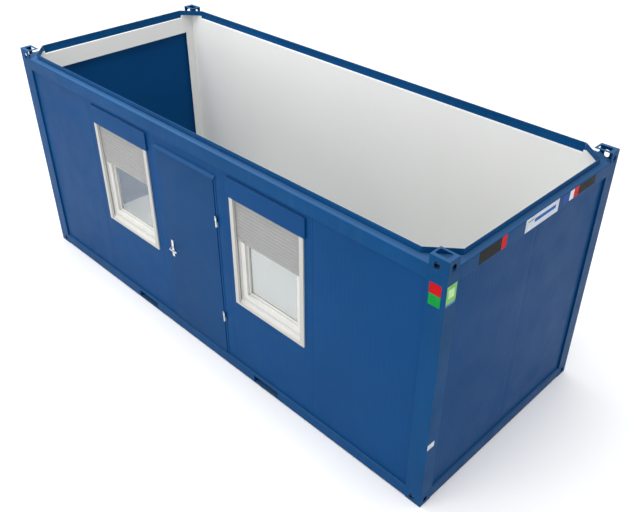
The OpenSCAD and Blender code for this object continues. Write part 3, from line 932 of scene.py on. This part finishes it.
class CABIN_OT_door(Operator):
    """Finish the door, its frame and hinges, and build its seal, lock and lever"""

    bl_idname = "cabin.door"
    bl_label = "Door"

    def execute(self, context):
        paint = wall_paint()
        dress("door_frame", paint, 0.0015)
        dress("door_drip", paint, 0.0008)
        dress("door_leaf", finish_named("gentian_door_sheet", coated_sheet,
                                        settings()[1].door, 0.38, 0.06), 0.0025, 3)
        dress("door_hinge_pins", zinc(), 0.0006)
        dress("door_hinge_knuckles", zinc(), 0.0006)
        dress("door_threshold", finish_named("mill_aluminium", drawn_metal, srgb("#C3C5C6"),
                                             0.36, 1.2), 0.0012)
        dress("door_handle_plates", satin_aluminium(), 0.0025, 3)
        self.seals()
        self.tread()
        self.lock()
        self.lever()
        self.screws()
        return {"FINISHED"}

    def seals(self):
        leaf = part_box("door_leaf")
        bm = bmesh.new()
        lap = 0.009
        x0, x1 = leaf[0].x + lap, leaf[1].x - lap
        z1 = leaf[1].z - lap
        y = leaf[1].y + 0.0006
        for a, b in (((x0, leaf[0].z), (x0 + 0.008, z1)), ((x1 - 0.008, leaf[0].z), (x1, z1)),
                     ((x0, z1 - 0.008), (x1, z1))):
            block(bm, (a[0], y, a[1]), (b[0], y + 0.0064, b[1]))
        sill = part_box("door_threshold")[1].z
        block(bm, (x0 + 0.008, y, sill - 0.016), (x1 - 0.008, y + 0.0064, sill - 0.008))
        piece("door_seal", bm, seal(), edges=0.001)

    def tread(self):
        """Fine grooves along the threshold's top."""
        low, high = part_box("door_threshold")
        metal = bpy.data.materials["mill_aluminium"]
        bm = bmesh.new()
        for i in range(3):
            y = low.y + 0.0035 + i * 0.004
            outline = [(y, high.z - 0.0002), (y + 0.0006, high.z + 0.0008),
                       (y + 0.0018, high.z + 0.0008), (y + 0.0024, high.z - 0.0002)]
            prism(bm, outline, (low.x + 0.003, high.x - 0.003), along_x)
        piece("door_tread", bm, metal)

    def lock(self):
        """Lock cylinders below the lever, with a round escutcheon and a key slot."""
        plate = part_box("door_handle_plates")
        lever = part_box("door_lever")
        x = (plate[0].x + plate[1].x) / 2
        z = (lever[0].z + lever[1].z) / 2 - 0.072
        bm = bmesh.new()
        slots = bmesh.new()
        for y, way in ((plate[0].y, -1), (plate[1].y, 1)):
            lathe(bm, (x, y, z), (0, way, 0),
                  [(0, 0.0105), (0.0028, 0.0105), (0.0036, 0.0095), (0.0036, 0.0085),
                   (0.0050, 0.0085), (0.0056, 0.0078)], 32)
            a, b = sorted((y + way * 0.0050, y + way * 0.0060))
            # The key slot is a block of dark seal rubber: painted shade standing for the depth of
            # the keyway.
            block(slots, (x - 0.0008, a, z - 0.0042), (x + 0.0008, b, z + 0.0042))
        piece("door_lock_cylinder", bm, zinc(), body="door")
        piece("door_key_slot_shade", slots, seal(), body="door")

    def lever(self):
        """Cast lever handles: a collar, a neck and a grip that bends and thins to its end."""
        low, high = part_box("door_lever")
        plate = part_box("door_handle_plates")
        x = low.x + 0.010
        z = (low.z + high.z) / 2
        bm = bmesh.new()
        mid = (low.y + high.y) / 2
        for way in (-1, 1):
            face = (plate[1].y - plate[0].y) / 2 + 0.001
            end = (high.y - low.y) / 2 - 0.008
            path, radii = [], []
            for i in range(5):
                path.append((x, mid + way * (face + (end - 0.014 - face) * i / 4), z))
                radii.append(0.0098 if i < 1 else 0.0088)
            bend = 0.014
            for i in range(1, 9):
                a = math.pi / 2 * i / 8
                path.append((x + bend * (1 - math.cos(a)),
                             mid + way * (end - bend + bend * math.sin(a)), z))
                radii.append(0.0088 - 0.0008 * i / 8)
            reach = high.x - 0.001
            for i in range(1, 15):
                t = i / 14
                path.append((x + bend + (reach - x - bend) * t,
                             mid + way * (end - 0.0015 * math.sin(math.pi * t)), z))
                radii.append(0.0080 if i < 12 else (0.0076, 0.0062, 0.0030)[i - 12])
            sweep(bm, path, radii, 24)
        spindle = (plate[1].y - plate[0].y) / 2 + 0.004
        lathe(bm, (x, mid - spindle, z), (0, 1, 0), [(0, 0.0058), (2 * spindle, 0.0058)], 24)
        piece("door_lever_handle", bm, satin_aluminium(), body="lever",
              replaces=("door_lever",), smooth=60)

    def screws(self):
        bm = bmesh.new()
        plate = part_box("door_handle_plates")
        x = (plate[0].x + plate[1].x) / 2
        for z in (plate[0].z + 0.012, plate[1].z - 0.012):
            screw_head(bm, (x, plate[0].y, z), (0, -1, 0), 0.0045, 0.0018)
            screw_head(bm, (x, plate[1].y, z), (0, 1, 0), 0.0045, 0.0018)
        piece("door_plate_screws", bm, zinc(), body="door")


# ---- Labels ----


class CABIN_OT_labels(Operator):
    """Stick plain coloured marks on the right end and the near post"""

    bl_idname = "cabin.labels"
    bl_label = "Labels"

    def execute(self, context):
        self.end = LENGTH / 2
        self.film("label_dark_near", "#222223", (-0.847, -0.560), (2.384, 2.498))
        self.film("label_red_near", "#C41A23", (-0.560, -0.494), (2.384, 2.498))
        self.film("label_plate", "#C6CDD8", (-0.237, 0.247), (2.378, 2.498))
        self.film("label_plate_band", "#2C5FA6", (-0.110, 0.200), (2.428, 2.462), 2)
        self.film("label_plate_rule", "#3E4A55", (-0.205, -0.125), (2.462, 2.470), 2)
        self.film("label_blue_far", "#2A4C93", (0.310, 0.420), (2.400, 2.490))
        self.film("label_white_far", "#DADDE0", (0.420, 0.485), (2.400, 2.490))
        self.film("label_red_far", "#C41A23", (0.485, 0.560), (2.400, 2.490))
        self.film("label_dark_far", "#222223", (0.560, 0.839), (2.400, 2.490))
        self.film("label_green_post", "#7DBC6C", (-1.208, -1.093), (2.218, 2.377))
        self.film("label_green_post_panel", "#BFE0A8", (-1.186, -1.118), (2.262, 2.340), 2)
        self.film("label_blue_post", "#5C7FA8", (-1.208, -1.093), (2.196, 2.218))
        self.film("label_white_low", "#C9CED2", (-1.212, -1.123), (0.716, 0.776))
        self.post_film("label_red_post", "#B41219", (2.272, 2.366))
        self.post_film("label_green_square", "#128A3A", (2.171, 2.270))
        return {"FINISHED"}

    def film(self, name, code, across, up, layer=1):
        """A film on the outer plane of the right end."""
        bm = bmesh.new()
        block(bm, (self.end + 0.0001, across[0], up[0]),
              (self.end + 0.0004 * layer + 0.0001, across[1], up[1]))
        piece(name, bm, finish_named(name + "_film", printed_film, code))

    def post_film(self, name, code, up):
        """A square film on the near post's front face."""
        bm = bmesh.new()
        block(bm, (self.end - 0.146, -WIDTH / 2 - 0.0005, up[0]),
              (self.end - 0.041, -WIDTH / 2 - 0.0001, up[1]))
        piece(name, bm, finish_named(name + "_film", printed_film, code))


# ---- Stage ----


class CABIN_OT_stage(Operator):
    """Lay a plain pale floor and set the studio light and the camera"""

    bl_idname = "cabin.stage"
    bl_label = "Stage"

    def execute(self, context):
        scene = context.scene
        scene.view_settings.view_transform = "Standard"
        bm = bmesh.new()
        block(bm, (-60, -60, CAD_LOW[2] - 0.02), (60, 60, CAD_LOW[2] - 0.0005))
        mesh = bpy.data.meshes.new("studio_floor")
        bm.to_mesh(mesh)
        bm.free()
        mesh.materials.append(self.floor_paint())
        floor = bpy.data.objects.new("studio_floor", mesh)
        scene.collection.objects.link(floor)
        self.world(scene)
        self.softbox("key_light", (-1.5, -13.0, 8.0), 9.0, 660)
        self.softbox("opening_light", (-2.3, -0.5, 6.5), 4.0, 215)
        self.overhead("overhead_light", 2.1)
        self.camera(scene)
        return {"FINISHED"}

    def floor_paint(self):
        """Matt studio board: near white, with the faintest mottling."""
        material, tree, shader, where = surface("matt_studio_board")
        spots = ranged(tree, noise(tree, where, 1500, 3), 0, 1)
        tone = blend(tree, spots, rgba(srgb("#FBFBFB")), rgba(srgb("#FDFDFD")))
        tree.links.new(tone, shader.inputs["Base Color"])
        shader.inputs["Roughness"].default_value = 0.9
        shader.inputs["Specular IOR Level"].default_value = 0.1
        return material

    def world(self, scene):
        world = bpy.data.worlds.new("studio_air")
        scene.world = world
        world.use_nodes = True
        tree = world.node_tree
        back = tree.nodes["Background"]
        back.inputs["Color"].default_value = rgba(srgb("#FAFBFD"))
        # Brighter low down, so that the pale floor runs out into white
        where = add(tree, "ShaderNodeTexCoord").outputs["Generated"]
        up = add(tree, "ShaderNodeSeparateXYZ", {"Vector": where}).outputs["Z"]
        tree.links.new(ranged(tree, up, 1.1, 0.48, 0.02, 0.22), back.inputs["Strength"])

    def softbox(self, name, at, side, power):
        light = bpy.data.lights.new(name, "AREA")
        light.shape = "SQUARE"
        light.size = side
        light.energy = power
        lamp = bpy.data.objects.new(name, light)
        lamp.location = at
        aim = Vector((0, 0, 1.2)) - Vector(at)
        lamp.rotation_euler = aim.to_track_quat("-Z", "Y").to_euler()
        bpy.context.scene.collection.objects.link(lamp)

    def overhead(self, name, strength):
        """A broad, even light from straight above."""
        light = bpy.data.lights.new(name, "SUN")
        light.energy = strength
        light.angle = math.radians(70)
        bpy.context.scene.collection.objects.link(bpy.data.objects.new(name, light))

    def camera(self, scene):
        data = bpy.data.cameras.new("camera")
        data.lens = 42.17
        data.sensor_width = 36
        data.clip_end = 200
        camera = bpy.data.objects.new("camera", data)
        ahead = Vector((-0.580, 0.586, -0.566)).normalized()
        right = Vector((0.709, 0.705, 0.003))
        right = (right - ahead * right.dot(ahead)).normalized()
        up = right.cross(ahead)
        turn = Matrix((right, up, -ahead)).transposed().to_4x4()
        camera.matrix_world = Matrix.Translation((5.312, -4.768, 5.481)) @ turn
        scene.collection.objects.link(camera)
        scene.camera = camera


class CABIN_PT_sidebar(Panel):
    """Lists the sizes, the colours and the steps"""

    bl_idname = "CABIN_PT_sidebar"
    bl_label = "Cabin"
    bl_space_type = "VIEW_3D"
    bl_region_type = "UI"
    bl_category = "Cabin"

    def draw(self, context):
        for group in (context.scene.cabin_sizes, context.scene.cabin_colours):
            column = self.layout.column()
            for key in group.__annotations__:
                column.prop(group, key)
        for step in STEPS:
            self.layout.operator(step.bl_idname)


STEPS = (
    CABIN_OT_steel_frame,
    CABIN_OT_walls,
    CABIN_OT_floor,
    CABIN_OT_windows,
    CABIN_OT_shutters,
    CABIN_OT_door,
    CABIN_OT_labels,
    CABIN_OT_stage,
)
CLASSES = (CabinSizes, CabinColours) + STEPS + (CABIN_PT_sidebar,)


def register():
    for cls in CLASSES:
        bpy.utils.register_class(cls)
    bpy.types.Scene.cabin_sizes = PointerProperty(type=CabinSizes)
    bpy.types.Scene.cabin_colours = PointerProperty(type=CabinColours)


def unregister():
    del bpy.types.Scene.cabin_colours
    del bpy.types.Scene.cabin_sizes
    for cls in reversed(CLASSES):
        bpy.utils.unregister_class(cls)


def main():
    """Runs every step."""
    register()
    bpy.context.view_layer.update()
    bpy.ops.cabin.steel_frame()
    bpy.ops.cabin.walls()
    bpy.ops.cabin.floor()
    bpy.ops.cabin.windows()
    bpy.ops.cabin.shutters()
    bpy.ops.cabin.door()
    bpy.ops.cabin.labels()
    bpy.ops.cabin.stage()


if __name__ == "__main__":
    main()
